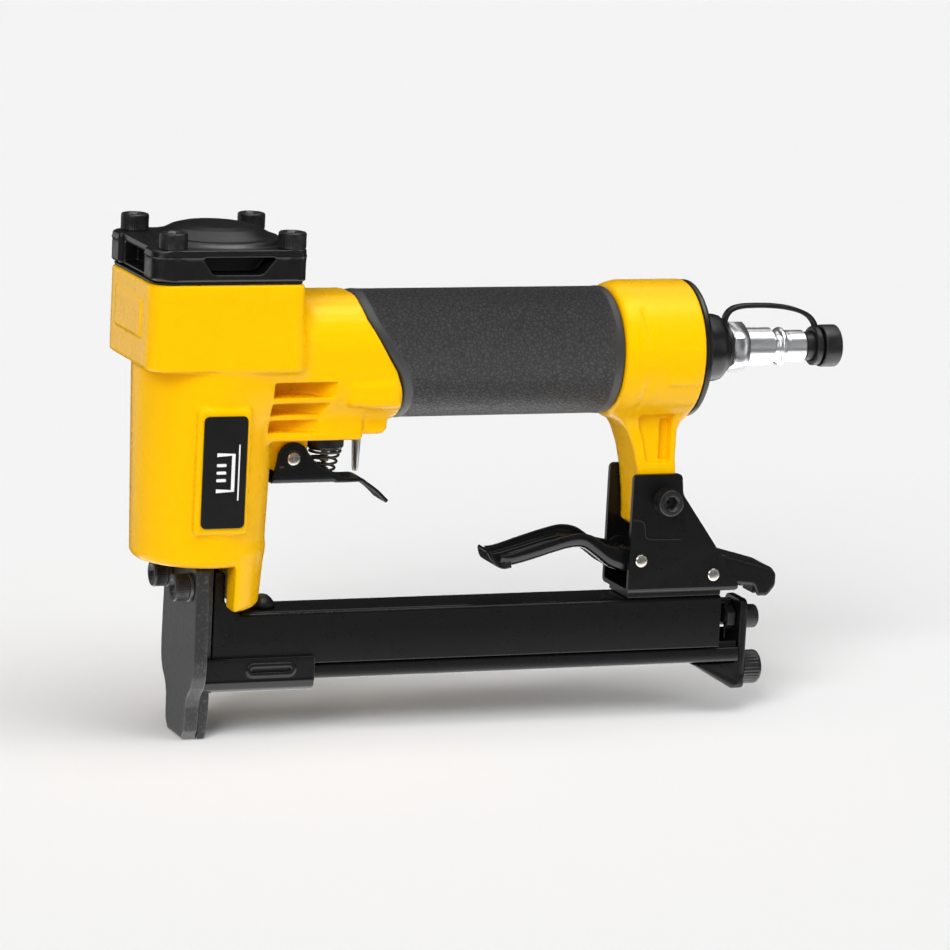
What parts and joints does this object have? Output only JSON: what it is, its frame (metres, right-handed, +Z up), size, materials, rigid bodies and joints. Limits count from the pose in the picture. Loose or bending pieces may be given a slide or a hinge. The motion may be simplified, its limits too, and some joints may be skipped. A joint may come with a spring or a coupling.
{
  "type": "staple gun",
  "caption": "Air-powered fine-wire staple gun: die-cast body with a rubber grip, trigger, cylinder head, air plug and a long slide-out staple magazine with a latch.",
  "frame": {"origin": "the staple exit: the driver blade's line at the bottom of the nose", "axes": "+Z up along the cylinder, +X rearwards to the air plug, +Y to the tool's right as its user sees it from behind the nose line (away from the name plate)"},
  "size_m": [0.2355, 0.0468, 0.1586],
  "materials": {
    "aluminium": "machined aluminium",
    "black_plastic": "moulded black plastic, satin",
    "black_screw": "black oxide steel",
    "black_steel": "black e-coated pressed steel, semi-gloss",
    "brass": "turned brass",
    "bright_steel": "nickel-plated or ground steel",
    "chrome": "bright zinc and chrome plating",
    "grip_rubber": "dark grey rubber with a fine leather texture",
    "soft_black": "black moulded rubber",
    "urethane": "amber-brown urethane",
    "yellow_enamel": "glossy yellow enamel over die-cast metal"
  },
  "bodies": {
    "tool": {"housing": "yellow_enamel", "name_plate": "black_plastic", "cylinder_cap": "black_plastic", "cap_gasket": "soft_black", "cap_screw_1": "black_screw", "cap_screw_2": "black_screw", "cap_screw_3": "black_screw", "cap_screw_4": "black_screw", "cylinder_sleeve": "aluminium", "piston_bumper": "urethane", "head_valve_spring": "bright_steel", "grip_sleeve": "grip_rubber", "end_cap": "black_plastic", "air_plug": "chrome", "cap_strap": "soft_black", "trigger_pin": "bright_steel", "trigger_valve_body": "black_plastic", "trigger_spring": "black_screw", "trigger_stop": "aluminium", "nose_front_plate": "black_steel", "driver_guide_plate": "black_steel", "nose_washer_1": "black_screw", "nose_washer_2": "black_screw", "nose_screw_1": "black_screw", "nose_screw_2": "black_screw", "magazine_body": "black_steel", "front_guide": "black_steel", "magazine_plug": "soft_black", "rear_bracket": "black_steel", "bracket_screw": "black_screw", "bracket_nut": "black_screw", "lever_pin": "bright_steel", "hook_pin": "bright_steel", "latch_spring": "bright_steel"},
    "driver": {"piston": "aluminium", "piston_ring": "soft_black", "driver_blade": "bright_steel"},
    "exhaust_valve": {"head_valve": "black_plastic"},
    "plug_cap": {"dust_cap": "soft_black"},
    "trigger_lever": {"trigger": "black_steel"},
    "stem": {"valve_stem": "brass"},
    "rail": {"magazine_rail": "black_steel", "end_bracket": "black_steel", "end_bolt": "black_screw", "end_nut": "black_screw", "rear_bumper": "soft_black", "pusher_rod": "bright_steel", "pusher_spring": "bright_steel"},
    "pusher_block": {"pusher": "bright_steel"},
    "finger_lever": {"latch_lever": "black_steel"},
    "hook": {"latch_hook": "black_steel"}
  },
  "joints": [
    {"name": "trigger_pull", "type": "hinge", "parent": "tool", "child": "trigger_lever", "pos_m": [0.027, 0, 0.086], "axis": [0, -1, 0], "range_deg": [0, 8], "stiffness_Nm_per_rad": 0.6, "deforming": ["trigger_spring"]},
    {"name": "stem_slide", "type": "slide", "parent": "tool", "child": "stem", "axis": [0, 0, 1], "range_m": [0, 0.0017]},
    {"name": "drive_stroke", "type": "slide", "parent": "tool", "child": "driver", "axis": [0, 0, -1], "range_m": [0, 0.04]},
    {"name": "head_valve_lift", "type": "slide", "parent": "tool", "child": "exhaust_valve", "axis": [0, 0, 1], "range_m": [0, 0.004], "stiffness_N_per_m": 1500, "deforming": ["head_valve_spring"]},
    {"name": "dust_cap_pull", "type": "slide", "parent": "tool", "child": "plug_cap", "axis": [1, 0, 0], "range_m": [0, 0.012]},
    {"name": "magazine_slide", "type": "slide", "parent": "tool", "child": "rail", "axis": [1, 0, 0], "range_m": [0, 0.11]},
    {"name": "pusher_slide", "type": "slide", "parent": "rail", "child": "pusher_block", "axis": [1, 0, 0], "range_m": [0, 0.12], "stiffness_N_per_m": 40, "springref_m": -0.03, "deforming": ["pusher_spring"]},
    {"name": "latch_squeeze", "type": "hinge", "parent": "tool", "child": "finger_lever", "pos_m": [0.1421, 0, 0.0518], "axis": [0, 1, 0], "range_deg": [0, 8], "stiffness_Nm_per_rad": 0.8},
    {"name": "hook_lift", "type": "hinge", "parent": "tool", "child": "hook", "pos_m": [0.1672, 0, 0.0466], "axis": [0, 1, 0], "range_deg": [-6.4, 0]}
  ],
  "couplings": [
    {"joint": "stem_slide", "follows": "trigger_pull", "m_per_rad": 0.0118},
    {"joint": "hook_lift", "follows": "latch_squeeze", "ratio": -0.79}
  ]
}
